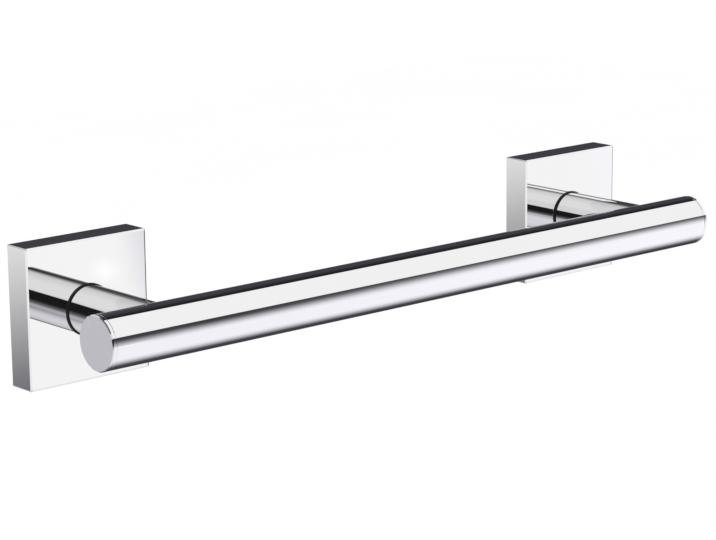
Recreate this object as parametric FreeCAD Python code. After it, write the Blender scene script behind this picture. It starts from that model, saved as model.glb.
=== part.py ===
import FreeCAD, Part

import math
import os

from FreeCAD import Vector

# Grab bar on two square wall plates. Millimetres. X runs along the bar, Z is up and the wall is the plane Y = 0.
# The object stands out from the wall towards -Y, so a "depth" below is a distance from the wall along -Y.

# Whole object
BAR_LENGTH = 300.0
BAR_OVERHANG = 27.0
BAR_DEPTH = 54.0

# Bar tube and its end caps
BAR_DIAMETER = 20.0
BAR_WALL = 1.5
CAP_RIM = 1.6
CAP_EDGE = 0.4
CAP_SPIGOT = 8.0
CAP_SPIGOT_WALL = 2.0
CAP_CLEARANCE = 0.05
JOINT_EDGE = 0.12

# Posts and the thin seals at their feet
POST_DIAMETER = 18.5
POST_EDGE = 0.4
FOOT_DIAMETER = 11.8
SEAL_DIAMETER = 19.4
SEAL_THICKNESS = 0.6
SEAL_EDGE = 0.2
SEAL_CLEARANCE = 0.1

# Square cover plates
COVER_SIZE = 52.0
COVER_DEPTH = 11.5
COVER_WALL = 2.5
COVER_FRONT = 3.0
COVER_CORNER = 0.4
COVER_BEVEL_WIDTH = 0.7
COVER_BEVEL_DEPTH = 0.39
COVER_FRONT_CORNER = 0.1
COVER_INNER_CORNER = 1.0

# Pressed wall brackets inside the covers
BRACKET_SHEET = 1.8
BRACKET_FLANGE = 7.0
BRACKET_BEND = 1.0
BRACKET_CLEARANCE = 0.3
WALL_HOLE_DIAMETER = 5.0
WALL_HOLE_SPACING = 28.0
CENTRE_HOLE_DIAMETER = 16.0

# Post screws and their spring washers
SCREW_DIAMETER = 6.0
SCREW_LENGTH = 16.0
SCREW_HEAD_DIAMETER = 10.0
SCREW_HEAD_HEIGHT = 4.0
SCREW_SOCKET = 4.0
SCREW_SOCKET_DEPTH = 2.2
SCREW_CLEARANCE = 0.2
WASHER_DIAMETER = 10.8
WASHER_THICKNESS = 1.4
WASHER_SLIT = 0.8

# Studs and half-round nuts that join the posts to the bar
STUD_LENGTH = 20.0
STUD_SOCKET = 3.0
STUD_SOCKET_DEPTH = 3.0
STUD_RECESS = 1.0
NUT_LENGTH = 16.0
NUT_WIDTH = 15.0
NUT_EDGE = 0.3

# Blind threaded holes in the posts
HOLE_SPARE = 1.4
DRILL_POINT = 118.0

# Grub screws in the lower walls of the covers
GRUB_DIAMETER = 4.0
GRUB_LENGTH = 4.0
GRUB_DEPTH = 5.0
GRUB_RECESS = 0.1
GRUB_TIP_DIAMETER = 0.4
GRUB_SOCKET = 2.0
GRUB_SOCKET_DEPTH = 1.6
GRUB_SEAT_CLEARANCE = 0.03

# Sizes that follow from those above
POST_SPACING = BAR_LENGTH - 2 * BAR_OVERHANG
BAR_RADIUS = BAR_DIAMETER / 2
BORE_RADIUS = BAR_RADIUS - BAR_WALL
TUBE_LENGTH = BAR_LENGTH - 2 * CAP_RIM
SCREW_RADIUS = SCREW_DIAMETER / 2
CLEAR_RADIUS = SCREW_RADIUS + SCREW_CLEARANCE
FOOT_RADIUS = FOOT_DIAMETER / 2
COVER_FLOOR = COVER_DEPTH - COVER_FRONT
COVER_SHOULDER = COVER_DEPTH - COVER_BEVEL_DEPTH
WASHER_DEPTH = COVER_FLOOR - WASHER_THICKNESS
POST_START = COVER_DEPTH + SEAL_THICKNESS
STUD_END = BAR_DEPTH - STUD_RECESS
STUD_START = STUD_END - STUD_LENGTH
BRACKET_SIZE = COVER_SIZE - 2 * COVER_WALL - 2 * BRACKET_CLEARANCE
BRACKET_INSIDE = BRACKET_SIZE - 2 * BRACKET_SHEET

ALONG = Vector(1, 0, 0)
OUT = Vector(0, -1, 0)
UP = Vector(0, 0, 1)


def at(x, depth, z=0.0):
    """Point given by its place along the bar, its distance from the wall and its height."""
    return Vector(x, -depth, z)


def cylinder(radius, start, direction, length):
    return Part.makeCylinder(radius, length, start, direction)


def lathe(profile, start, direction):
    """Solid turned about an axis, from (radius, distance along the axis) corners of half its section."""
    side = direction.cross(UP) if abs(direction.dot(UP)) < 0.5 else ALONG
    corners = [start + side * radius + direction * distance for radius, distance in profile]
    section = Part.Face(Part.makePolygon(corners + corners[:1]))
    return section.revolve(start, direction, 360)


def hexagon(across_flats, start, direction, depth):
    """Six-sided prism, used as the socket of a screw."""
    side = direction.cross(UP) if abs(direction.dot(UP)) < 0.5 else ALONG
    other = direction.cross(side)
    radius = across_flats / math.sqrt(3)
    turns = [math.radians(60 * step) for step in range(6)]
    corners = [start + side * (radius * math.cos(turn)) + other * (radius * math.sin(turn)) for turn in turns]
    return Part.Face(Part.makePolygon(corners + corners[:1])).extrude(direction * depth)


def block(centre_x, near, far, width, height):
    """Box between two depths, centred on a post's axis."""
    return Part.makeBox(width, far - near, height, Vector(centre_x - width / 2, -far, -height / 2))


def edges_along(shape, direction):
    """Straight edges that run along a direction."""
    found = []
    for edge in shape.Edges:
        if len(edge.Vertexes) == 2:
            run = edge.Vertexes[1].Point - edge.Vertexes[0].Point
            if abs(abs(run.normalize().dot(direction)) - 1) < 1e-6:
                found.append(edge)
    return found


def edges_at_depth(shape, depth):
    """Edges whose every point lies at one distance from the wall."""
    return [edge for edge in shape.Edges if abs(edge.BoundBox.YMin + depth) < 1e-6 and edge.BoundBox.YLength < 1e-6]


def blind_hole(start, direction, depth):
    """Threaded hole at its full diameter, with the cone that the drill leaves."""
    cone = SCREW_RADIUS / math.tan(math.radians(DRILL_POINT / 2))
    return lathe([(0, 0), (SCREW_RADIUS, 0), (SCREW_RADIUS, depth), (0, depth + cone)], start, direction)


def bar_tube():
    """Round tube with an edge break at each end and a hole for each stud in the side that faces the wall."""
    half = TUBE_LENGTH / 2
    section = [
        (BORE_RADIUS, -half),
        (BAR_RADIUS - JOINT_EDGE, -half),
        (BAR_RADIUS, -half + JOINT_EDGE),
        (BAR_RADIUS, half - JOINT_EDGE),
        (BAR_RADIUS - JOINT_EDGE, half),
        (BORE_RADIUS, half),
    ]
    tube = lathe(section, at(0, BAR_DEPTH), ALONG)
    for x in (-POST_SPACING / 2, POST_SPACING / 2):
        tube = tube.cut(cylinder(CLEAR_RADIUS, at(x, BAR_DEPTH - BAR_DIAMETER), OUT, BAR_DIAMETER))
    return tube


def end_cap(side):
    """Turned cap: a flat disc with a thin rim, and a hollow spigot inside the tube."""
    spigot = BORE_RADIUS - CAP_CLEARANCE
    hollow = spigot - CAP_SPIGOT_WALL
    section = [
        (0, 0),
        (hollow, 0),
        (hollow, -CAP_SPIGOT),
        (spigot - CAP_EDGE, -CAP_SPIGOT),
        (spigot, -CAP_SPIGOT + CAP_EDGE),
        (spigot, 0),
        (BAR_RADIUS - JOINT_EDGE, 0),
        (BAR_RADIUS, JOINT_EDGE),
        (BAR_RADIUS, CAP_RIM - CAP_EDGE),
        (BAR_RADIUS - CAP_EDGE, CAP_RIM),
        (0, CAP_RIM),
    ]
    return lathe(section, at(side * TUBE_LENGTH / 2, BAR_DEPTH), ALONG * side)


def post(x):
    """Turned post with a stepped, rounded foot, a threaded hole at each end and a saddle that fits the bar."""
    radius = POST_DIAMETER / 2
    section = [
        (0, COVER_DEPTH),
        (FOOT_RADIUS, COVER_DEPTH),
        (FOOT_RADIUS, POST_START),
        (radius, POST_START),
        (radius, BAR_DEPTH),
        (0, BAR_DEPTH),
    ]
    body = lathe(section, at(x, 0), OUT)
    rim = [edge for edge in edges_at_depth(body, POST_START) if edge.Curve.Radius > FOOT_RADIUS + POST_EDGE]
    body = body.makeFillet(POST_EDGE, rim)
    saddle = cylinder(BAR_RADIUS, at(x - POST_DIAMETER, BAR_DEPTH), ALONG, 2 * POST_DIAMETER)
    screw_tip = WASHER_DEPTH + SCREW_LENGTH
    foot_hole = blind_hole(at(x, COVER_DEPTH), OUT, screw_tip + HOLE_SPARE - COVER_DEPTH)
    bar_hole = blind_hole(at(x, BAR_DEPTH), -OUT, BAR_DEPTH - STUD_START + HOLE_SPARE)
    return body.cut(saddle).cut(foot_hole).cut(bar_hole)


def seal_ring(x):
    """Thin rubber ring with rounded edges, pressed between the post and the cover plate."""
    ring = cylinder(SEAL_DIAMETER / 2, at(x, COVER_DEPTH), OUT, SEAL_THICKNESS)
    rims = edges_at_depth(ring, COVER_DEPTH) + edges_at_depth(ring, POST_START)
    ring = ring.makeFillet(SEAL_EDGE, rims)
    return ring.cut(cylinder(FOOT_RADIUS + SEAL_CLEARANCE, at(x, COVER_DEPTH), OUT, SEAL_THICKNESS))


def outline_at_depth(shape, depth):
    """Closed outline of a prism's flat end."""
    return Part.Wire(Part.__sortEdges__(edges_at_depth(shape, depth)))


def cover_block(x):
    """Square block with rounded corners and a narrow, shallow bevel round its front."""
    sides = block(x, 0, COVER_SHOULDER, COVER_SIZE, COVER_SIZE)
    sides = sides.makeFillet(COVER_CORNER, edges_along(sides, OUT))
    front_size = COVER_SIZE - 2 * COVER_BEVEL_WIDTH
    front = block(x, 0, COVER_DEPTH, front_size, front_size)
    front = front.makeFillet(COVER_FRONT_CORNER, edges_along(front, OUT))
    rims = [outline_at_depth(sides, COVER_SHOULDER), outline_at_depth(front, COVER_DEPTH)]
    return sides.fuse(Part.makeLoft(rims, True, True)).removeSplitter()


def cover_plate(x):
    """Square cover, hollow behind, with a bevelled front, a hole for the post screw and one for the grub screw."""
    cover = cover_block(x)
    inside = COVER_SIZE - 2 * COVER_WALL
    hollow = block(x, 0, COVER_FLOOR, inside, inside)
    hollow = hollow.makeFillet(COVER_INNER_CORNER, edges_along(hollow, OUT))
    cover = cover.cut(hollow)
    cover = cover.cut(cylinder(CLEAR_RADIUS, at(x, COVER_FLOOR), OUT, COVER_FRONT))
    return cover.cut(cylinder(GRUB_DIAMETER / 2, at(x, GRUB_DEPTH, -COVER_SIZE / 2), UP, COVER_WALL))


def wall_bracket(x):
    """Shallow pressed tray: a floor on the wall with two screw holes, and a flange all round inside the cover."""
    tray = block(x, 0, BRACKET_FLANGE, BRACKET_SIZE, BRACKET_SIZE)
    bends = edges_along(tray, OUT) + edges_at_depth(tray, 0)
    tray = tray.makeFillet(BRACKET_BEND + BRACKET_SHEET, bends)
    hollow = block(x, BRACKET_SHEET, BRACKET_FLANGE, BRACKET_INSIDE, BRACKET_INSIDE)
    bends = edges_along(hollow, OUT) + edges_at_depth(hollow, BRACKET_SHEET)
    tray = tray.cut(hollow.makeFillet(BRACKET_BEND, bends))
    tray = tray.cut(cylinder(CENTRE_HOLE_DIAMETER / 2, at(x, 0), OUT, BRACKET_SHEET))
    for z in (-WALL_HOLE_SPACING / 2, WALL_HOLE_SPACING / 2):
        tray = tray.cut(cylinder(WALL_HOLE_DIAMETER / 2, at(x, 0, z), OUT, BRACKET_SHEET))
    seat = grub_cone_radius() + GRUB_SEAT_CLEARANCE
    return tray.cut(cylinder(seat, at(x, GRUB_DEPTH, -BRACKET_SIZE / 2), UP, BRACKET_SHEET))


def grub_cone_radius():
    """Radius of the grub screw's cone where it meets the outside of the bracket's flange."""
    tip = -COVER_SIZE / 2 + GRUB_RECESS + GRUB_LENGTH
    return GRUB_TIP_DIAMETER / 2 + tip + BRACKET_SIZE / 2


def grub_screw(x):
    """Headless screw with a hexagon socket and a 90 degree cone point in the bracket's lower flange."""
    radius = GRUB_DIAMETER / 2
    tip = GRUB_TIP_DIAMETER / 2
    start = at(x, GRUB_DEPTH, -COVER_SIZE / 2 + GRUB_RECESS)
    section = [
        (0, 0),
        (radius - GRUB_RECESS, 0),
        (radius, GRUB_RECESS),
        (radius, GRUB_LENGTH - radius + tip),
        (tip, GRUB_LENGTH),
        (0, GRUB_LENGTH),
    ]
    return lathe(section, start, UP).cut(hexagon(GRUB_SOCKET, start, UP, GRUB_SOCKET_DEPTH))


def post_screw(x):
    """Low-head socket screw, from inside the cover plate into the foot of the post."""
    head = SCREW_HEAD_DIAMETER / 2
    under = SCREW_HEAD_HEIGHT
    end = under + SCREW_LENGTH
    section = [
        (0, 0),
        (head - CAP_EDGE, 0),
        (head, CAP_EDGE),
        (head, under),
        (SCREW_RADIUS, under),
        (SCREW_RADIUS, end - CAP_EDGE),
        (SCREW_RADIUS - CAP_EDGE, end),
        (0, end),
    ]
    start = at(x, WASHER_DEPTH - SCREW_HEAD_HEIGHT)
    return lathe(section, start, OUT).cut(hexagon(SCREW_SOCKET, start, OUT, SCREW_SOCKET_DEPTH))


def spring_washer(x):
    """Split ring, pressed flat between the screw's head and the cover plate."""
    section = [
        (CLEAR_RADIUS, 0),
        (WASHER_DIAMETER / 2, 0),
        (WASHER_DIAMETER / 2, WASHER_THICKNESS),
        (CLEAR_RADIUS, WASHER_THICKNESS),
    ]
    ring = lathe(section, at(x, WASHER_DEPTH), OUT)
    slit = Part.makeBox(WASHER_SLIT, WASHER_THICKNESS, WASHER_DIAMETER / 2,
                        Vector(x - WASHER_SLIT / 2, -WASHER_DEPTH - WASHER_THICKNESS, 0))
    return ring.cut(slit)


def bar_stud(x):
    """Headless stud with a hexagon socket in the end that is inside the post."""
    section = [
        (0, 0),
        (SCREW_RADIUS - CAP_EDGE, 0),
        (SCREW_RADIUS, CAP_EDGE),
        (SCREW_RADIUS, STUD_LENGTH - CAP_EDGE),
        (SCREW_RADIUS - CAP_EDGE, STUD_LENGTH),
        (0, STUD_LENGTH),
    ]
    start = at(x, STUD_START)
    return lathe(section, start, OUT).cut(hexagon(STUD_SOCKET, start, OUT, STUD_SOCKET_DEPTH))


def bar_nut(x):
    """Half-round nut that lies against the inside of the tube, on the side that faces the wall."""
    rod = cylinder(BORE_RADIUS, at(x - NUT_LENGTH / 2, BAR_DEPTH), ALONG, NUT_LENGTH)
    half = block(x, BAR_DEPTH - BAR_RADIUS, BAR_DEPTH, NUT_LENGTH, NUT_WIDTH)
    nut = rod.common(half)
    nut = nut.makeChamfer(NUT_EDGE, edges_at_depth(nut, BAR_DEPTH))
    return nut.cut(cylinder(SCREW_RADIUS, at(x, BAR_DEPTH - BAR_RADIUS), OUT, BAR_RADIUS))


def build():
    """Every piece by name. The two ends are alike, and only the end caps face opposite ways."""
    pieces = {"bar_tube": bar_tube()}
    at_each_post = (
        post,
        seal_ring,
        cover_plate,
        wall_bracket,
        grub_screw,
        post_screw,
        spring_washer,
        bar_stud,
        bar_nut,
    )
    for name, side in (("left", -1), ("right", 1)):
        pieces["end_cap_" + name] = end_cap(side)
        for make in at_each_post:
            pieces[make.__name__ + "_" + name] = make(side * POST_SPACING / 2)
    return pieces


os.makedirs("parts", exist_ok=True)
for node, shape in build().items():
    solid = shape.Solids[0] if len(shape.Solids) == 1 else shape
    solid.exportStep("parts/" + node + ".step")
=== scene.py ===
import math

import bmesh
import bpy
from bpy.props import FloatProperty, FloatVectorProperty, PointerProperty
from bpy.types import Operator, Panel, PropertyGroup
from mathutils import Matrix, Vector


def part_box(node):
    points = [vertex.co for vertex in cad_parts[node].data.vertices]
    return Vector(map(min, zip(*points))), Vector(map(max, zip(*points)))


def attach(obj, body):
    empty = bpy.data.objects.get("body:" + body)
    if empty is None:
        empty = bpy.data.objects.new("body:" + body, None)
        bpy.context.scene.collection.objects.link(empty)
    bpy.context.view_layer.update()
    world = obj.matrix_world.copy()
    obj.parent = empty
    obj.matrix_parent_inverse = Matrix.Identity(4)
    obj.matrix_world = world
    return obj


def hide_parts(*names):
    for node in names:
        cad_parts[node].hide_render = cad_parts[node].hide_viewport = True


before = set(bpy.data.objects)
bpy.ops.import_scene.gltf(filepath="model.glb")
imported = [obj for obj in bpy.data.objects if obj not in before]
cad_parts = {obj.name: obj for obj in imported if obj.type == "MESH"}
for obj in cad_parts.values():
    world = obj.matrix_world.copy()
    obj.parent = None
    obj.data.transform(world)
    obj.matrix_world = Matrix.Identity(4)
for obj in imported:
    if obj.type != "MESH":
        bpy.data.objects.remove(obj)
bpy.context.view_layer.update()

bl_info = {
    "name": "Grab Bar",
    "version": (1, 0, 0),
    "blender": (4, 5, 0),
    "location": "View3D > Sidebar > Grab Bar",
    "description": "Finishes a chromed grab bar with two square wall plates and sets its studio",
    "category": "Object",
}

SIDES = ("left", "right")

# Places read from the solids, in metres
BAR_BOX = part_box("bar_tube")
BAR_AXIS_Y = (BAR_BOX[0][1] + BAR_BOX[1][1]) / 2
CAP_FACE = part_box("end_cap_right")[1][0]

# The middle range of a noise texture, in which nearly all its values lie
NOISE_RANGE = (0.3, 0.7)
# The rubber's darkest and lightest tone
RUBBER_TONES = ((0.006, 0.006, 0.007), (0.012, 0.012, 0.013))
# Bare metals: roughness, waves of the grain per metre along each axis, and its depth in metres
PRESSED_SHEET = (0.30, (60.0, 60.0, 2200.0), 0.000004)
SPRING_WIRE = (0.34, (900.0, 900.0, 900.0), 0.000006)
TURNED_STEEL = (0.24, (300.0, 5000.0, 300.0), 0.000003)
TURNED_UPRIGHT = (0.28, (300.0, 300.0, 5000.0), 0.000003)
TURNED_BRASS = (0.22, (3000.0, 300.0, 300.0), 0.000003)

# The end caps' turned faces, in metres. A face ends a little behind its plane, where the rim begins to round.
CAP_TINT = (0.81, 0.805, 0.843)
FACE_EDGES = (0.00006, 0.00002)
TURNING_PITCH = 0.00035
TURNING_DEPTH = 0.0000008

# Round pieces: the corners round them, the gaps that are closed and the angle up to which faces shine as one
ROUND = 48
WELD = 0.0000004
SEAM = 0.000001
SMOOTH_ANGLE = math.radians(28.0)

# Threads, as shares of the pitch: how deep they are, and where along a turn the root ends and the crest lies
THREAD_DEPTH = 0.6
ROOT_END = 0.12
CREST = (0.5, 0.62)
# Hexagon sockets, as shares of the width over flats: the mouth's width and depth, and the drill's cone
SOCKET_MOUTH = (1.06, 0.04)
DRILL_CONE = 0.2

# The post screw, in metres: heights run from its socket end
M6_RADIUS = 0.003
M6_PITCH = 0.001
HEAD_RADIUS = 0.005
HEAD_HEIGHT = 0.004
HEAD_BEVEL = 0.0004
HEAD_FACE_RADIUS = 0.0046
HEAD_LAND_RADIUS = 0.00489
HEAD_LAND = 0.0007
KNURL = (0.0008, 0.0036)
KNURL_DEPTH = 0.00012
NECK_RADIUS = 0.00295
NECK_END = 0.0055
THREAD_START = 0.0057
THREAD_START_RADIUS = 0.0024
POST_SCREW_LENGTH = 0.02
POST_SCREW_KEY = 0.004
POST_SCREW_SOCKET = 0.0022

# The stud, in metres
STUD_LENGTH = 0.02
STUD_KEY = 0.003
STUD_SOCKET = 0.003

# The grub screw, in metres: heights run from its socket end
M4_RADIUS = 0.002
M4_PITCH = 0.0007
GRUB_KEY = 0.002
GRUB_SOCKET = 0.0016
CONE_START = 0.0024
CONE_TIP_RADIUS = 0.0002
GRUB_LENGTH = 0.004


class FinishSizes(PropertyGroup):
    """Colours and surface values of the grab bar's metals"""

    chrome_colour: FloatVectorProperty(
        name="Chrome colour",
        description="Reflected colour of the polished chrome plating",
        subtype="COLOR",
        size=3,
        min=0.0,
        max=1.0,
        default=(0.94, 0.94, 0.94),
    )
    chrome_roughness: FloatProperty(
        name="Chrome roughness",
        description="Mean roughness of the polished chrome plating",
        subtype="FACTOR",
        min=0.0,
        max=1.0,
        default=0.02,
    )
    cap_roughness: FloatProperty(
        name="Cap face roughness",
        description="Mean roughness of the end caps' turned faces",
        subtype="FACTOR",
        min=0.0,
        max=1.0,
        default=0.34,
    )
    ripple_height: FloatProperty(
        name="Polishing ripple",
        description="Height of the faint waves that polishing leaves in the plating",
        subtype="DISTANCE",
        min=0.0,
        max=0.001,
        default=0.000002,
        precision=7,
    )
    steel_colour: FloatVectorProperty(
        name="Steel colour",
        description="Reflected colour of the brackets, screws and studs",
        subtype="COLOR",
        size=3,
        min=0.0,
        max=1.0,
        default=(0.62, 0.62, 0.61),
    )
    spring_colour: FloatVectorProperty(
        name="Spring steel colour",
        description="Reflected colour of the spring washers",
        subtype="COLOR",
        size=3,
        min=0.0,
        max=1.0,
        default=(0.46, 0.45, 0.44),
    )
    brass_colour: FloatVectorProperty(
        name="Brass colour",
        description="Reflected colour of the nuts inside the bar",
        subtype="COLOR",
        size=3,
        min=0.0,
        max=1.0,
        default=(0.80, 0.60, 0.30),
    )


class StudioSizes(PropertyGroup):
    """Camera, floor and lights of the studio"""

    lens: FloatProperty(
        name="Lens",
        description="Focal length of the camera in millimetres",
        unit="CAMERA",
        min=1.0,
        default=128.56,
    )
    camera_distance: FloatProperty(
        name="Camera distance",
        description="Distance from the camera to the point that it looks at",
        subtype="DISTANCE",
        default=1.01539,
    )
    camera_turn: FloatProperty(
        name="Camera turn",
        description="Turn of the camera round the vertical, from straight in front of the wall",
        subtype="ANGLE",
        default=math.radians(-40.912),
    )
    camera_height: FloatProperty(
        name="Camera height",
        description="Angle at which the camera looks down",
        subtype="ANGLE",
        default=math.radians(12.802),
    )
    camera_roll: FloatProperty(
        name="Camera roll",
        description="Turn of the camera about its own line of sight",
        subtype="ANGLE",
        default=math.radians(-0.628),
    )
    aim: FloatVectorProperty(
        name="Aim",
        description="Point at the middle of the picture",
        subtype="TRANSLATION",
        size=3,
        default=(0.01484, 0.0, -0.00905),
    )
    floor_drop: FloatProperty(
        name="Floor drop",
        description="Height of the bar's axis above the floor",
        subtype="DISTANCE",
        default=1.1,
    )
    floor_size: FloatProperty(
        name="Floor size",
        description="Length of each side of the square floor",
        subtype="DISTANCE",
        min=1.0,
        default=12.0,
    )
    lamp_power: FloatProperty(
        name="Lamp power",
        description="Power of the overhead lamp",
        subtype="POWER",
        default=9.0,
    )


def grey(level):
    """A display level from 0 to 255 as a linear value."""
    v = level / 255.0
    return v / 12.92 if v <= 0.04045 else ((v + 0.055) / 1.055) ** 2.4


def shaded(colour, factor):
    """A colour made darker or lighter by a factor."""
    return tuple(min(1.0, c * factor) for c in colour)


def new_tree(name):
    """A new node material, with its tree, shader and output."""
    material = bpy.data.materials.new(name)
    material.use_nodes = True
    tree = material.node_tree
    tree.nodes.clear()
    output = tree.nodes.new("ShaderNodeOutputMaterial")
    shader = tree.nodes.new("ShaderNodeBsdfPrincipled")
    tree.links.new(shader.outputs["BSDF"], output.inputs["Surface"])
    return material, tree, shader


def feed(tree, socket, value):
    """Sets a socket to a plain number or colour, or links another node's output to it."""
    if isinstance(value, bpy.types.NodeSocket):
        tree.links.new(value, socket)
    elif isinstance(value, (int, float)):
        socket.default_value = value
    else:
        socket.default_value = (*value, 1.0)


def calculate(tree, operation, *values):
    """A maths node on sockets or plain numbers."""
    node = tree.nodes.new("ShaderNodeMath")
    node.operation = operation
    for socket, value in zip(node.inputs, values):
        feed(tree, socket, value)
    return node.outputs["Value"]


def mix(tree, factor, first, second, way="MIX"):
    """Two colours, plain or from sockets, mixed by a factor."""
    node = tree.nodes.new("ShaderNodeMix")
    node.data_type = "RGBA"
    node.blend_type = way
    for name, value in (("Factor", factor), ("A", first), ("B", second)):
        feed(tree, node.inputs[name], value)
    return node.outputs["Result"]


def smooth_step(tree, value, low, high):
    """0 at one end of a range and 1 at the other, with a soft step between."""
    node = tree.nodes.new("ShaderNodeMapRange")
    node.interpolation_type = "SMOOTHSTEP"
    node.inputs["From Min"].default_value = low
    node.inputs["From Max"].default_value = high
    tree.links.new(value, node.inputs["Value"])
    return node.outputs["Result"]


def grain(tree, waves, detail=3.0, roughness=0.5):
    """Noise in the object's own coordinates, with a number of waves per metre along each axis."""
    place = tree.nodes.new("ShaderNodeTexCoord")
    stretch = tree.nodes.new("ShaderNodeMapping")
    stretch.inputs["Scale"].default_value = waves
    node = tree.nodes.new("ShaderNodeTexNoise")
    node.inputs["Scale"].default_value = 1.0
    node.inputs["Detail"].default_value = detail
    node.inputs["Roughness"].default_value = roughness
    tree.links.new(place.outputs["Object"], stretch.inputs["Vector"])
    tree.links.new(stretch.outputs["Vector"], node.inputs["Vector"])
    return node.outputs["Fac"]


def cloud(tree, waves, detail=3.0, roughness=0.5):
    """Noise with the same number of waves per metre along all axes."""
    return grain(tree, (waves, waves, waves), detail, roughness)


def spread(tree, noise, low, high):
    """The middle range of a noise spread from low to high."""
    node = tree.nodes.new("ShaderNodeMapRange")
    node.inputs["From Min"].default_value = NOISE_RANGE[0]
    node.inputs["From Max"].default_value = NOISE_RANGE[1]
    node.inputs["To Min"].default_value = low
    node.inputs["To Max"].default_value = high
    tree.links.new(noise, node.inputs["Value"])
    return node.outputs["Result"]


def emboss(tree, shader, height, depth):
    """Gives a shader's surface a fine relief of a real depth in metres."""
    bump = tree.nodes.new("ShaderNodeBump")
    bump.inputs["Strength"].default_value = 1.0
    bump.inputs["Distance"].default_value = depth
    tree.links.new(height, bump.inputs["Height"])
    tree.links.new(bump.outputs["Normal"], shader.inputs["Normal"])


def plated(name, finish):
    """Polished plating: mirror bright, with faint polishing waves and a slight uneven haze."""
    material, tree, shader = new_tree(name)
    colour, roughness = finish.chrome_colour, finish.chrome_roughness
    shader.inputs["Metallic"].default_value = 1.0
    haze = spread(tree, cloud(tree, 60.0, 4.0), roughness * 0.6, roughness * 1.4)
    tree.links.new(haze, shader.inputs["Roughness"])
    tone = mix(tree, cloud(tree, 22.0), shaded(colour, 0.985), shaded(colour, 1.01))
    tree.links.new(tone, shader.inputs["Base Color"])
    emboss(tree, shader, cloud(tree, 90.0, 2.0), finish.ripple_height)
    return material


def grained_metal(name, colour, roughness, waves, depth):
    """Bare metal with the grain of its making, a little stained and uneven in gloss."""
    material, tree, shader = new_tree(name)
    shader.inputs["Metallic"].default_value = 1.0
    lines = grain(tree, waves)
    tree.links.new(spread(tree, lines, roughness * 0.75, roughness * 1.3), shader.inputs["Roughness"])
    stain = cloud(tree, 180.0, 5.0, 0.6)
    tone = mix(tree, stain, shaded(colour, 0.88), shaded(colour, 1.08))
    tree.links.new(tone, shader.inputs["Base Color"])
    emboss(tree, shader, lines, depth)
    return material


def black_rubber(name):
    """Moulded rubber: near black, with a soft sheen that varies over the ring."""
    material, tree, shader = new_tree(name)
    tone = mix(tree, cloud(tree, 400.0), *RUBBER_TONES)
    tree.links.new(tone, shader.inputs["Base Color"])
    tree.links.new(spread(tree, cloud(tree, 900.0), 0.3, 0.45), shader.inputs["Roughness"])
    shader.inputs["Specular IOR Level"].default_value = 0.25
    return material


def turned_cap(name, finish):
    """Plated cap: a satin face with fine turning rings, and a polished rim round it."""
    material, tree, shader = new_tree(name)
    shader.inputs["Metallic"].default_value = 1.0
    place = tree.nodes.new("ShaderNodeTexCoord")
    parts = tree.nodes.new("ShaderNodeSeparateXYZ")
    tree.links.new(place.outputs["Object"], parts.inputs["Vector"])
    x, y, z = parts.outputs
    face = smooth_step(tree, calculate(tree, "ABSOLUTE", x), *(CAP_FACE - edge for edge in FACE_EDGES))
    haze = spread(tree, cloud(tree, 500.0), finish.cap_roughness * 0.9, finish.cap_roughness * 1.1)
    satin = calculate(tree, "MULTIPLY", face, haze)
    tree.links.new(calculate(tree, "ADD", satin, finish.chrome_roughness), shader.inputs["Roughness"])
    tone = mix(tree, cloud(tree, 260.0, 4.0), shaded(CAP_TINT, 0.985), shaded(CAP_TINT, 1.015))
    tree.links.new(mix(tree, face, finish.chrome_colour, tone), shader.inputs["Base Color"])
    out = calculate(tree, "SUBTRACT", y, BAR_AXIS_Y)
    squares = calculate(tree, "ADD", calculate(tree, "MULTIPLY", out, out), calculate(tree, "MULTIPLY", z, z))
    turns = calculate(tree, "MULTIPLY", calculate(tree, "SQRT", squares), math.tau / TURNING_PITCH)
    rings = calculate(tree, "SINE", turns)
    emboss(tree, shader, calculate(tree, "MULTIPLY", rings, face), TURNING_DEPTH)
    return material


def dress(node, material):
    """Gives a solid of the frame its finish."""
    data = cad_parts[node].data
    data.materials.clear()
    data.materials.append(material)


def keep_out_of_mirrors(piece):
    """Leaves the bar and what it holds out of the mirror images, so that the plates stay clean and bright."""
    piece.visible_glossy = False


def round_ring(radius, height):
    """Points round the piece's axis."""
    turns = [math.tau * step / ROUND for step in range(ROUND)]
    return [(radius * math.cos(turn), radius * math.sin(turn), height) for turn in turns]


def hexagon_ring(flats, height):
    """Points round a hexagon of the given width over its flats, one at each corner among them."""
    points = []
    for step in range(ROUND):
        turn = math.tau * step / ROUND
        off = (turn + math.pi / 6) % (math.pi / 3) - math.pi / 6
        radius = flats / 2 / math.cos(off)
        points.append((radius * math.cos(turn), radius * math.sin(turn), height))
    return points


def knurled_ring(radius, height, depth):
    """Points round a straight knurl: each second one lies a little deeper."""
    points = []
    for step in range(ROUND * 2):
        turn = math.tau * step / (ROUND * 2)
        reach = radius - depth * (step % 2)
        points.append((reach * math.cos(turn), reach * math.sin(turn), height))
    return points


def skin(shape, rings):
    """Joins rings of points into a wall."""
    rows = [[shape.verts.new(point) for point in ring] for ring in rings]
    for low, high in zip(rows, rows[1:]):
        for step in range(len(low)):
            after = (step + 1) % len(low)
            shape.faces.new((low[step], low[after], high[after], high[step]))
    return rows


def fan(shape, ring, tip):
    """Closes a ring of corners with triangles that meet at one point."""
    centre = shape.verts.new(tip)
    for step in range(len(ring)):
        shape.faces.new((ring[step], ring[(step + 1) % len(ring)], centre))


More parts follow.
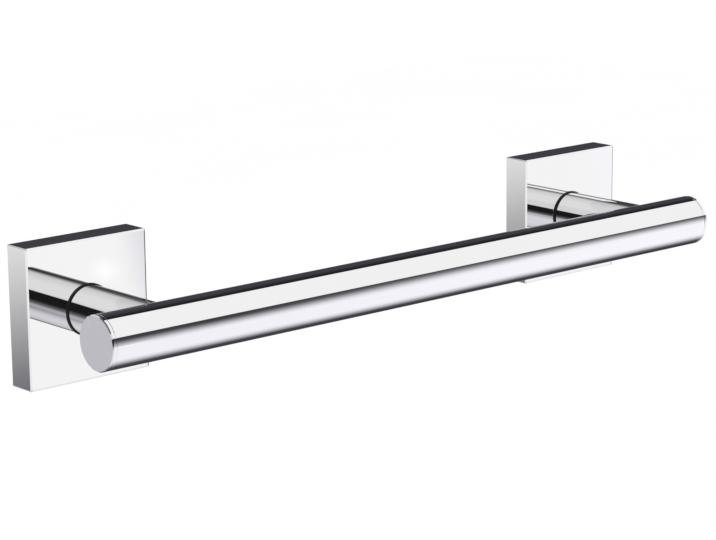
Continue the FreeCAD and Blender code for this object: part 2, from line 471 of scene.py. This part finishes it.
def cut_thread(shape, radius, pitch, low, high):
    """A helical V thread between two heights, run out to its core at both ends."""
    core = radius - THREAD_DEPTH * pitch
    profile = ((0.0, core), (ROOT_END, core), (CREST[0], radius), (CREST[1], radius))
    count = len(profile)
    turns = int(math.ceil((high - low) / pitch)) + 2
    columns = []
    for step in range(ROUND):
        turn = math.tau * step / ROUND
        column = []
        for row in range(count * (turns + 1)):
            share, reach = profile[row % count]
            height = low + pitch * (row // count - 1 + share + step / ROUND)
            height = min(max(height, low), high)
            reach = min(reach, core + min(height - low, high - height))
            column.append(shape.verts.new((reach * math.cos(turn), reach * math.sin(turn), height)))
        columns.append(column)
    for step in range(ROUND):
        after = (step + 1) % ROUND
        shift = count if after == 0 else 0
        for row in range(len(columns[0]) - 1 - shift):
            shape.faces.new((columns[step][row], columns[after][row + shift],
                             columns[after][row + 1 + shift], columns[step][row + 1]))
    return core


def hexagon_socket(shape, rim, flats, depth):
    """A hexagon socket with a drilled cone at its bottom, in an end face of the given radius."""
    mouth, chamfer = (flats * share for share in SOCKET_MOUTH)
    rows = skin(shape, [round_ring(rim, 0.0), hexagon_ring(mouth, 0.0),
                        hexagon_ring(flats, chamfer), hexagon_ring(flats, depth)])
    fan(shape, rows[-1], (0.0, 0.0, depth + flats * DRILL_CONE))


def stand_for(node, name, shape, material):
    """Makes a smooth piece from a shape. It stands for the node, on the bar's one body."""
    mesh = bpy.data.meshes.new(name)
    shape.to_mesh(mesh)
    shape.free()
    if not mesh.polygons:
        raise RuntimeError(f"{name} has no faces")
    mesh.shade_smooth()
    mesh.set_sharp_from_angle(angle=SMOOTH_ANGLE)
    mesh.materials.append(material)
    piece = bpy.data.objects.new(name, mesh)
    bpy.context.scene.collection.objects.link(piece)
    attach(piece, "root")
    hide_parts(node)
    return piece


def fixing(name, node, place, build, material):
    """A turned piece along its own axis, set where the node is."""
    shape = bmesh.new()
    build(shape)
    bmesh.ops.remove_doubles(shape, verts=shape.verts, dist=WELD)
    bmesh.ops.dissolve_degenerate(shape, edges=shape.edges, dist=WELD)
    bmesh.ops.recalc_face_normals(shape, faces=shape.faces)
    bmesh.ops.transform(shape, matrix=place, verts=shape.verts)
    return stand_for(node, name, shape, material)


def seamless(name, node, material):
    """A copy of a turned piece, joined along its seam, so that its round side shines without a crease."""
    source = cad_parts[node]
    shape = bmesh.new()
    corners = [shape.verts.new(source.matrix_world @ corner.co) for corner in source.data.vertices]
    for face in source.data.polygons:
        shape.faces.new([corners[index] for index in face.vertices])
    bmesh.ops.remove_doubles(shape, verts=shape.verts, dist=SEAM)
    bmesh.ops.recalc_face_normals(shape, faces=shape.faces)
    if any(not edge.is_manifold for edge in shape.edges):
        raise RuntimeError(f"{name} is not closed")
    return stand_for(node, name, shape, material)


def outward(node):
    """Places a piece's axis straight out from the wall, from the node's face that is nearest to the wall."""
    low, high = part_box(node)
    spot = Vector(((low[0] + high[0]) / 2, high[1], (low[2] + high[2]) / 2))
    return Matrix.Translation(spot) @ Matrix.Rotation(math.radians(90.0), 4, "X")


def upward(node):
    """Places a piece's axis straight up from the node's lowest face."""
    low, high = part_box(node)
    return Matrix.Translation(Vector(((low[0] + high[0]) / 2, (low[1] + high[1]) / 2, low[2])))


def close_end(shape, core, height):
    """A flat end that closes a thread's core."""
    rows = skin(shape, [round_ring(core, height)])
    fan(shape, rows[0], (0.0, 0.0, height))


def socket_screw(shape):
    """Knurled low head with a hexagon socket, a plain neck and an M6 thread."""
    hexagon_socket(shape, HEAD_FACE_RADIUS, POST_SCREW_KEY, POST_SCREW_SOCKET)
    skin(shape, [round_ring(HEAD_FACE_RADIUS, 0.0), round_ring(HEAD_LAND_RADIUS, HEAD_BEVEL),
                 round_ring(HEAD_LAND_RADIUS, HEAD_LAND)])
    rows = skin(shape, [knurled_ring(HEAD_RADIUS, height, KNURL_DEPTH) for height in KNURL])
    for row, height in zip(rows, KNURL):
        fan(shape, row, (0.0, 0.0, height))
    skin(shape, [round_ring(HEAD_LAND_RADIUS, KNURL[1]), round_ring(HEAD_LAND_RADIUS, HEAD_HEIGHT),
                 round_ring(M6_RADIUS, HEAD_HEIGHT), round_ring(NECK_RADIUS, NECK_END),
                 round_ring(THREAD_START_RADIUS, THREAD_START)])
    core = cut_thread(shape, M6_RADIUS, M6_PITCH, THREAD_START, POST_SCREW_LENGTH)
    close_end(shape, core, POST_SCREW_LENGTH)


def headless_stud(shape):
    """M6 thread from end to end, with a hexagon socket in one end."""
    core = cut_thread(shape, M6_RADIUS, M6_PITCH, 0.0, STUD_LENGTH)
    hexagon_socket(shape, core, STUD_KEY, STUD_SOCKET)
    close_end(shape, core, STUD_LENGTH)


def cone_screw(shape):
    """M4 thread with a hexagon socket below and a cone point above."""
    core = cut_thread(shape, M4_RADIUS, M4_PITCH, 0.0, CONE_START)
    hexagon_socket(shape, core, GRUB_KEY, GRUB_SOCKET)
    rows = skin(shape, [round_ring(core, CONE_START), round_ring(CONE_TIP_RADIUS, GRUB_LENGTH)])
    fan(shape, rows[1], (0.0, 0.0, GRUB_LENGTH))


class GRABBAR_OT_bar(Operator):
    """Plate the straight bar tube"""

    bl_idname = "grabbar.bar"
    bl_label = "Bar tube"

    def execute(self, context):
        chrome = plated("Bar chrome", context.scene.grabbar_finish)
        keep_out_of_mirrors(seamless("polished_bar_tube", "bar_tube", chrome))
        return {"FINISHED"}


class GRABBAR_OT_end_caps(Operator):
    """Finish the flat caps that close the bar's ends"""

    bl_idname = "grabbar.end_caps"
    bl_label = "End caps"

    def execute(self, context):
        chrome = turned_cap("Turned cap chrome", context.scene.grabbar_finish)
        for side in SIDES:
            keep_out_of_mirrors(seamless(f"turned_end_cap_{side}", f"end_cap_{side}", chrome))
        return {"FINISHED"}


class GRABBAR_OT_posts(Operator):
    """Plate the posts and blacken the rubber seals at their feet"""

    bl_idname = "grabbar.posts"
    bl_label = "Posts and seals"

    def execute(self, context):
        chrome = plated("Post chrome", context.scene.grabbar_finish)
        rubber = black_rubber("Seal rubber")
        for side in SIDES:
            dress(f"post_{side}", chrome)
            dress(f"seal_ring_{side}", rubber)
        return {"FINISHED"}


class GRABBAR_OT_cover_plates(Operator):
    """Plate the square covers"""

    bl_idname = "grabbar.cover_plates"
    bl_label = "Cover plates"

    def execute(self, context):
        chrome = plated("Plate chrome", context.scene.grabbar_finish)
        for side in SIDES:
            dress(f"cover_plate_{side}", chrome)
        return {"FINISHED"}


class GRABBAR_OT_brackets(Operator):
    """Finish the pressed wall brackets and the spring washers"""

    bl_idname = "grabbar.brackets"
    bl_label = "Brackets and washers"

    def execute(self, context):
        finish = context.scene.grabbar_finish
        sheet = grained_metal("Pressed steel", finish.steel_colour, *PRESSED_SHEET)
        spring = grained_metal("Spring steel", finish.spring_colour, *SPRING_WIRE)
        for side in SIDES:
            dress(f"wall_bracket_{side}", sheet)
            dress(f"spring_washer_{side}", spring)
        return {"FINISHED"}


class GRABBAR_OT_fixings(Operator):
    """Cut the threaded screws and studs, and finish the brass nuts"""

    bl_idname = "grabbar.fixings"
    bl_label = "Screws, studs and nuts"

    def execute(self, context):
        finish = context.scene.grabbar_finish
        steel = grained_metal("Turned steel", finish.steel_colour, *TURNED_STEEL)
        grub = grained_metal("Grub screw steel", shaded(finish.steel_colour, 0.8), *TURNED_UPRIGHT)
        brass = grained_metal("Turned brass", finish.brass_colour, *TURNED_BRASS)
        for side in SIDES:
            for kind, place, build, metal, slot in (
                ("post_screw", outward, socket_screw, steel, "screw"),
                ("bar_stud", outward, headless_stud, steel, "stud"),
                ("grub_screw", upward, cone_screw, grub, "screw"),
            ):
                node = f"{kind}_{side}"
                piece = fixing(f"threaded_{node}", node, place(node), build, metal)
                if kind == "bar_stud":
                    keep_out_of_mirrors(piece)
            dress(f"bar_nut_{side}", brass)
            keep_out_of_mirrors(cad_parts[f"bar_nut_{side}"])
        return {"FINISHED"}


# How a light differs from plain grey, in display levels
NEUTRAL = (0, 0, 0)
COOL = (0, 0, 6)

# The studio is made of long soft boxes in line with the bar, laid over a dim room one after the other. Angles round
# the bar's axis are 0 straight out from the wall and 90 straight up. Each box has the angle of an edge and how soft
# that edge is, the same for its other edge, a display level and a tint. Dark ones are flags that shade the room.
# This is the part that lies towards the bar's right end.
RIGHT_ROOM = 60
RIGHT_BOXES = (
    (-90, 25, -5, 20, 240, COOL),
    (-200, 10, -155, 20, 170, COOL),
    (23, 1, 110, 1, 240, NEUTRAL),
    (110, 1, 130, 10, 35, NEUTRAL),
)
# The same nearer to the bar's right end, where the lower soft box reaches higher
FAR_BOXES = ((-90, 25, 5, 20, 245, COOL), *RIGHT_BOXES[1:])
# The part in front of the middle of the bar
MIDDLE_ROOM = 80
MIDDLE_BOXES = (
    (-200, 10, -142, 10, 225, NEUTRAL),
    (-95, 15, -28, 10, 215, COOL),
    (-20, 4, 8, 5, 235, NEUTRAL),
    (22, 1, 108, 1, 225, NEUTRAL),
    (128, 4, 200, 10, 210, NEUTRAL),
)
# The part that lies towards the bar's left end
LEFT_ROOM = 100
LEFT_BOXES = (
    (-200, 10, -164, 3, 230, NEUTRAL),
    (-158, 4, -22, 17, 220, COOL),
    (-10, 10, 22, 1, 25, NEUTRAL),
    (22, 1, 50, 4, 215, NEUTRAL),
)
# How the middle part darkens towards the right part: shares by the direction along the bar
MIDDLE_SHARES = ((-0.1, 1.0), (0.16, 0.9), (0.32, 0.8), (0.40, 0.5), (0.455, 0.16), (0.51, 0.16))
# Where one part blends into the next, by the direction along the bar
LEFT_END = (-0.5, -0.42)
RIGHT_START = (0.508, 0.53)
FAR_START = (0.59, 0.72)
# The share of light that the plating returns
PLATING_SHARE = 0.935
# A soft panel in front of each cover plate, by its angles round the bar and by the direction along the bar
PANEL_TURN = (-19.8, -12.6)
PANEL_SOFT = 1.5
PANEL_LEVELS = (243, 254)
NEAR_PANEL_END = (0.5655, 0.5765)
FAR_PANEL_START = (0.684, 0.689)
FAR_PANEL_END = (0.704, 0.720)
# The lamp in the near panel: its direction along the bar and upwards, and its reach
PANEL_LAMP = (0.5614, -0.2196)
PANEL_LAMP_REACH = 0.0065

# What rough surfaces are lit by, and what the camera sees behind the bar
ROOM_LIGHT = (0.8, 0.8, 0.8)
WHITE = (1.0, 1.0, 1.0)
# The floor's two tones, and how much it glows to the camera so that it is white
FLOOR_TONES = ((0.8, 0.8, 0.8), (0.82, 0.82, 0.82))
FLOOR_GLOW = 0.35
# The overhead lamp and the camera's film and reach, in metres but for the film's width in millimetres
LAMP_SIZE = (1.6, 1.0)
LAMP_PLACE = (-0.2, -0.7, 1.6)
FILM_WIDTH = 36.0
CAMERA_REACH = (0.01, 50.0)


def shown_light(level, tint=NEUTRAL):
    """The light that shows at a display level in the plating."""
    return tuple(grey(level + shift) / PLATING_SHARE for shift in tint)


def ramp(tree, stops, factor):
    """A colour ramp from places between 0 and 1 and their colours."""
    node = tree.nodes.new("ShaderNodeValToRGB")
    elements = node.color_ramp.elements
    while len(elements) > 1:
        elements.remove(elements[-1])
    for index, (place, colour) in enumerate(stops):
        element = elements[0] if index == 0 else elements.new(place)
        element.position = place
        element.color = (*colour, 1.0)
    tree.links.new(factor, node.inputs["Fac"])
    return node.outputs["Color"]


def soft_boxes(tree, turn, room, boxes):
    """The light of soft boxes round the bar, laid over a dim room, by the angle round the bar."""
    light = shown_light(room, COOL)
    for *edges, level, tint in boxes:
        low, low_soft, high, high_soft = (math.radians(degrees) for degrees in edges)
        band = calculate(tree, "MULTIPLY", smooth_step(tree, turn, low - low_soft, low + low_soft),
                         smooth_step(tree, turn, high + high_soft, high - high_soft))
        light = mix(tree, band, light, shown_light(level, tint))
    return light


def darkened(tree, colour, x, shares):
    """A colour socket times a share that changes along the bar."""
    stops = [(place * 0.5 + 0.5, (share, share, share)) for place, share in shares]
    share = ramp(tree, stops, calculate(tree, "MULTIPLY_ADD", x, 0.5, 0.5))
    return mix(tree, 1.0, colour, share, "MULTIPLY")


def soft_panels(tree, turn, x, z, boxes):
    """The soft boxes with the plates' panels laid over them. A small lamp glows through the near one."""
    low, high = (math.radians(degrees) for degrees in PANEL_TURN)
    soft = math.radians(PANEL_SOFT)
    band = calculate(tree, "MULTIPLY", smooth_step(tree, turn, low - soft, low + soft),
                     smooth_step(tree, turn, high + soft, high - soft))
    near = smooth_step(tree, x, *reversed(NEAR_PANEL_END))
    far = calculate(tree, "MULTIPLY", smooth_step(tree, x, *FAR_PANEL_START),
                    smooth_step(tree, x, *reversed(FAR_PANEL_END)))
    share = calculate(tree, "MULTIPLY", band, calculate(tree, "ADD", near, far))
    across, up = (calculate(tree, "POWER", calculate(tree, "SUBTRACT", way, place), 2.0)
                  for way, place in zip((x, z), PANEL_LAMP))
    away = calculate(tree, "SQRT", calculate(tree, "ADD", across, up))
    glow = smooth_step(tree, away, PANEL_LAMP_REACH, 0.0)
    return mix(tree, share, boxes, mix(tree, glow, *(shown_light(level) for level in PANEL_LEVELS)))


def light_world(scene):
    """The studio: long soft boxes in line with the bar, and white where the camera looks straight at it."""
    world = bpy.data.worlds.new("Studio")
    scene.world = world
    world.use_nodes = True
    tree = world.node_tree
    tree.nodes.clear()
    output = tree.nodes.new("ShaderNodeOutputWorld")
    background = tree.nodes.new("ShaderNodeBackground")
    direction = tree.nodes.new("ShaderNodeTexCoord")
    parts = tree.nodes.new("ShaderNodeSeparateXYZ")
    tree.links.new(direction.outputs["Generated"], parts.inputs["Vector"])
    x, y, z = parts.outputs
    turn = calculate(tree, "ARCTAN2", z, calculate(tree, "MULTIPLY", y, -1.0))
    near = soft_boxes(tree, turn, RIGHT_ROOM, RIGHT_BOXES)
    far = soft_boxes(tree, turn, RIGHT_ROOM, FAR_BOXES)
    right = soft_panels(tree, turn, x, z, mix(tree, smooth_step(tree, x, *FAR_START), near, far))
    middle = darkened(tree, soft_boxes(tree, turn, MIDDLE_ROOM, MIDDLE_BOXES), x, MIDDLE_SHARES)
    left = soft_boxes(tree, turn, LEFT_ROOM, LEFT_BOXES)
    mirrored = mix(tree, smooth_step(tree, x, *RIGHT_START), middle, right)
    mirrored = mix(tree, smooth_step(tree, x, *LEFT_END), left, mirrored)
    ray = tree.nodes.new("ShaderNodeLightPath")
    soft = mix(tree, ray.outputs["Is Glossy Ray"], ROOM_LIGHT, mirrored)
    seen = mix(tree, ray.outputs["Is Camera Ray"], soft, WHITE)
    tree.links.new(seen, background.inputs["Color"])
    tree.links.new(background.outputs["Background"], output.inputs["Surface"])


def lay_floor(studio):
    """A pale floor below the bar. It keeps the shadow, is white elsewhere and is clear from below."""
    z = -studio.floor_drop
    half = studio.floor_size / 2
    mesh = bpy.data.meshes.new("studio_floor")
    corners = [(-half, -half, z), (half, -half, z), (half, half, z), (-half, half, z)]
    mesh.from_pydata(corners, [], [(0, 1, 2, 3)])
    floor = bpy.data.objects.new("studio_floor", mesh)
    bpy.context.scene.collection.objects.link(floor)
    material, tree, shader = new_tree("Pale floor")
    shader.inputs["Roughness"].default_value = 0.9
    shader.inputs["Specular IOR Level"].default_value = 0.1
    tone = mix(tree, cloud(tree, 3.0, 2.0), *FLOOR_TONES)
    tree.links.new(tone, shader.inputs["Base Color"])
    shader.inputs["Emission Color"].default_value = (*WHITE, 1.0)
    ray = tree.nodes.new("ShaderNodeLightPath")
    glow = calculate(tree, "MULTIPLY", ray.outputs["Is Camera Ray"], FLOOR_GLOW)
    tree.links.new(glow, shader.inputs["Emission Strength"])
    below = tree.nodes.new("ShaderNodeNewGeometry").outputs["Backfacing"]
    clear = tree.nodes.new("ShaderNodeBsdfTransparent")
    cut = tree.nodes.new("ShaderNodeMixShader")
    tree.links.new(below, cut.inputs["Fac"])
    tree.links.new(shader.outputs["BSDF"], cut.inputs[1])
    tree.links.new(clear.outputs["BSDF"], cut.inputs[2])
    tree.links.new(cut.outputs["Shader"], tree.nodes["Material Output"].inputs["Surface"])
    mesh.materials.append(material)
    floor.visible_glossy = False


def hang_lamp(studio):
    """One large soft lamp above and in front of the bar."""
    light = bpy.data.lights.new("overhead_lamp", "AREA")
    light.shape = "RECTANGLE"
    light.size, light.size_y = LAMP_SIZE
    light.energy = studio.lamp_power
    lamp = bpy.data.objects.new("overhead_lamp", light)
    lamp.location = LAMP_PLACE
    lamp.rotation_mode = "QUATERNION"
    lamp.rotation_quaternion = Vector(lamp.location).to_track_quat("Z", "Y")
    lamp.visible_glossy = False
    lamp.visible_camera = False
    bpy.context.scene.collection.objects.link(lamp)


def set_camera(scene, studio):
    """The camera at the photograph's place."""
    turn, lift, roll = studio.camera_turn, studio.camera_height, studio.camera_roll
    back = Vector((math.sin(turn) * math.cos(lift), -math.cos(turn) * math.cos(lift), math.sin(lift)))
    right = Vector((0.0, 0.0, 1.0)).cross(back).normalized()
    up = back.cross(right)
    c, s = math.cos(roll), math.sin(roll)
    right, up = right * c + up * s, up * c - right * s
    spot = Vector(studio.aim) + back * studio.camera_distance
    data = bpy.data.cameras.new("product_camera")
    data.lens = studio.lens
    data.sensor_width = FILM_WIDTH
    data.clip_start, data.clip_end = CAMERA_REACH
    camera = bpy.data.objects.new("product_camera", data)
    camera.matrix_world = Matrix((
        (right.x, up.x, back.x, spot.x),
        (right.y, up.y, back.y, spot.y),
        (right.z, up.z, back.z, spot.z),
        (0.0, 0.0, 0.0, 1.0),
    ))
    scene.collection.objects.link(camera)
    scene.camera = camera


class GRABBAR_OT_studio(Operator):
    """Set the camera, the pale floor and the soft light"""

    bl_idname = "grabbar.studio"
    bl_label = "Studio"

    def execute(self, context):
        scene = context.scene
        studio = scene.grabbar_studio
        scene.view_settings.view_transform = "Standard"
        set_camera(scene, studio)
        light_world(scene)
        lay_floor(studio)
        hang_lamp(studio)
        return {"FINISHED"}


class GRABBAR_PT_sidebar(Panel):
    """The steps that finish the grab bar"""

    bl_idname = "GRABBAR_PT_sidebar"
    bl_label = "Grab Bar"
    bl_space_type = "VIEW_3D"
    bl_region_type = "UI"
    bl_category = "Grab Bar"

    def draw(self, context):
        column = self.layout.column(align=True)
        for step in STEPS:
            column.operator(step.bl_idname)


STEPS = (
    GRABBAR_OT_bar,
    GRABBAR_OT_end_caps,
    GRABBAR_OT_posts,
    GRABBAR_OT_cover_plates,
    GRABBAR_OT_brackets,
    GRABBAR_OT_fixings,
    GRABBAR_OT_studio,
)
CLASSES = (FinishSizes, StudioSizes, *STEPS, GRABBAR_PT_sidebar)


def register():
    """Makes the sizes, steps and panel known to Blender."""
    for cls in CLASSES:
        bpy.utils.register_class(cls)
    bpy.types.Scene.grabbar_finish = PointerProperty(type=FinishSizes)
    bpy.types.Scene.grabbar_studio = PointerProperty(type=StudioSizes)


def unregister():
    """Takes them away again."""
    del bpy.types.Scene.grabbar_studio
    del bpy.types.Scene.grabbar_finish
    for cls in reversed(CLASSES):
        bpy.utils.unregister_class(cls)


def main():
    """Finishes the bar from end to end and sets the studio."""
    register()
    bpy.ops.grabbar.bar()
    bpy.ops.grabbar.end_caps()
    bpy.ops.grabbar.posts()
    bpy.ops.grabbar.cover_plates()
    bpy.ops.grabbar.brackets()
    bpy.ops.grabbar.fixings()
    bpy.ops.grabbar.studio()


if __name__ == "__main__":
    main()
